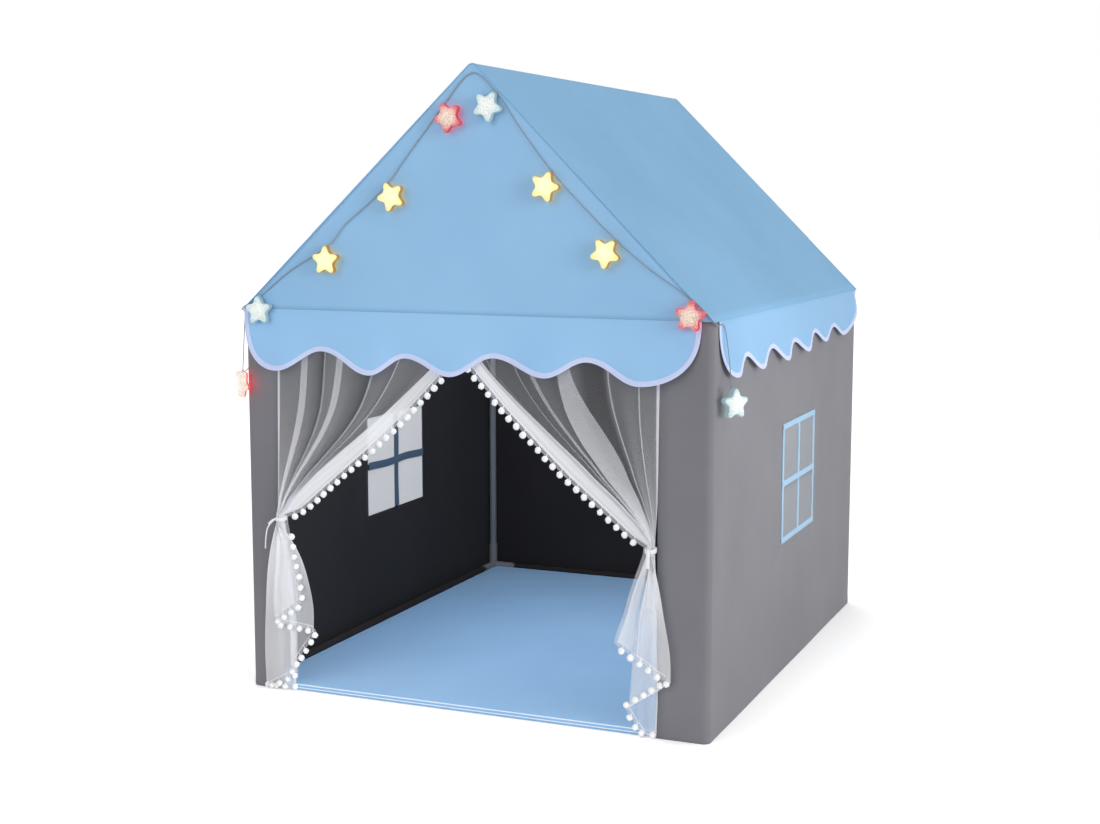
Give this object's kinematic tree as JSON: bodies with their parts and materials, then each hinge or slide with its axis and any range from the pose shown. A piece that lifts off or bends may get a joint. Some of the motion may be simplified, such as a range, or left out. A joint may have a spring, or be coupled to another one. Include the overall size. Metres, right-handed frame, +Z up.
{
  "type": "kids play tent",
  "caption": "House-shaped indoor play tent with a pitched cloth roof, scalloped valances, tied-back sheer curtains, windows, a padded floor mat and a string of star lights.",
  "frame": {"origin": "on the floor under the middle of the tent", "axes": "+Z up, the doorway faces -Y, the ridge runs along Y, +X is to the right as seen from the doorway side"},
  "size_m": [1.1252, 1.2999, 1.32],
  "materials": {
    "roof_cloth": "plain woven polyester, light blue, soft matt sheen",
    "wall_cloth": "plain woven polyester, mid grey, dark inside",
    "window_trim": "pale blue grosgrain trim over white net",
    "mat_cloth": "brushed polyester over foam, light blue with white piping",
    "curtain_tulle": "sheer white tulle with a satin band and pom-poms",
    "ribbon": "white satin ribbon",
    "frame_tube": "extruded plastic tube",
    "frame_fitting": "moulded plastic fitting",
    "star_red": "translucent moulded plastic, coral, lit from inside",
    "star_ice": "translucent moulded plastic, pale ice blue, lit from inside",
    "star_yellow": "translucent moulded plastic, warm yellow, lit from inside",
    "light_cord": "clear flexible plastic over twisted wire",
    "case_plastic": "moulded plastic"
  },
  "bodies": {
    "tent": {"battery_case": "case_plastic", "battery_cover": "case_plastic", "corner_fitting_back_left": "frame_fitting", "corner_fitting_back_right": "frame_fitting", "corner_fitting_front_left": "frame_fitting", "corner_fitting_front_right": "frame_fitting", "curtain_left": "curtain_tulle", "curtain_right": "curtain_tulle", "curtain_tie_left": "ribbon", "curtain_tie_right": "ribbon", "eave_fitting_back_left": "frame_fitting", "eave_fitting_back_right": "frame_fitting", "eave_fitting_front_left": "frame_fitting", "eave_fitting_front_right": "frame_fitting", "eave_rail_back": "frame_tube", "eave_rail_front": "frame_tube", "eave_rail_left": "frame_tube", "eave_rail_right": "frame_tube", "floor_mat": "mat_cloth", "floor_rail_back": "frame_tube", "floor_rail_left": "frame_tube", "floor_rail_right": "frame_tube", "gable_back": "roof_cloth", "gable_front": "roof_cloth", "post_back_left": "frame_tube", "post_back_right": "frame_tube", "post_front_left": "frame_tube", "post_front_right": "frame_tube", "rafter_back_left": "frame_tube", "rafter_back_right": "frame_tube", "rafter_front_left": "frame_tube", "rafter_front_right": "frame_tube", "ridge_fitting_back": "frame_fitting", "ridge_fitting_front": "frame_fitting", "ridge_tube": "frame_tube", "roof_left": "roof_cloth", "roof_right": "roof_cloth", "star_cord": "light_cord", "valance_front": "roof_cloth", "valance_left": "roof_cloth", "valance_right": "roof_cloth", "wall_back": "wall_cloth", "wall_front_left": "wall_cloth", "wall_front_right": "wall_cloth", "wall_left": "wall_cloth", "wall_right": "wall_cloth", "window_left": "window_trim", "window_right": "window_trim"},
    "star_01": {"star_01": "star_red"},
    "star_02": {"star_02": "star_ice"},
    "star_03": {"star_03": "star_yellow"},
    "star_04": {"star_04": "star_yellow"},
    "star_05": {"star_05": "star_red"},
    "star_06": {"star_06": "star_ice"},
    "star_07": {"star_07": "star_yellow"},
    "star_08": {"star_08": "star_yellow"},
    "star_09": {"star_09": "star_red"},
    "star_10": {"star_10": "star_ice"},
    "valance_back": {"valance_back": "roof_cloth"},
    "battery_switch": {"battery_switch": "case_plastic"}
  },
  "joints": [
    {"name": "star_01_swing", "type": "hinge", "parent": "tent", "child": "star_01", "pos_m": [-0.5334, -0.6094, 0.69], "axis": [-0.6157, -0.788, 0], "range_deg": [-15, 15]},
    {"name": "star_02_swing", "type": "hinge", "parent": "tent", "child": "star_02", "pos_m": [-0.47621, -0.6234, 0.85272], "axis": [0, -1, 0], "range_deg": [-15, 15]},
    {"name": "star_03_swing", "type": "hinge", "parent": "tent", "child": "star_03", "pos_m": [-0.31004, -0.6234, 0.96013], "axis": [0, -1, 0], "range_deg": [-15, 15]},
    {"name": "star_04_swing", "type": "hinge", "parent": "tent", "child": "star_04", "pos_m": [-0.16799, -0.6234, 1.08784], "axis": [0, -1, 0], "range_deg": [-15, 15]},
    {"name": "star_05_swing", "type": "hinge", "parent": "tent", "child": "star_05", "pos_m": [-0.04044, -0.6234, 1.24228], "axis": [0, -1, 0], "range_deg": [-15, 15]},
    {"name": "star_06_swing", "type": "hinge", "parent": "tent", "child": "star_06", "pos_m": [0.0737, -0.6234, 1.2611], "axis": [0, -1, 0], "range_deg": [-15, 15]},
    {"name": "star_07_swing", "type": "hinge", "parent": "tent", "child": "star_07", "pos_m": [0.19111, -0.6234, 1.10764], "axis": [0, -1, 0], "range_deg": [-15, 15]},
    {"name": "star_08_swing", "type": "hinge", "parent": "tent", "child": "star_08", "pos_m": [0.32501, -0.6234, 0.97597], "axis": [0, -1, 0], "range_deg": [-15, 15]},
    {"name": "star_09_swing", "type": "hinge", "parent": "tent", "child": "star_09", "pos_m": [0.4806, -0.6234, 0.86559], "axis": [0, -1, 0], "range_deg": [-15, 15]},
    {"name": "star_10_swing", "type": "hinge", "parent": "tent", "child": "star_10", "pos_m": [0.5397, -0.5643, 0.696], "axis": [0.848, -0.5299, 0], "range_deg": [-15, 15]},
    {"name": "valance_back_lift", "type": "hinge", "parent": "tent", "child": "valance_back", "pos_m": [0, 0.6219, 0.8247], "axis": [1, 0, 0], "range_deg": [0, 75]},
    {"name": "battery_switch_slide", "type": "slide", "parent": "tent", "child": "battery_switch", "axis": [0, 0, 1], "range_m": [0, 0.005]}
  ]
}
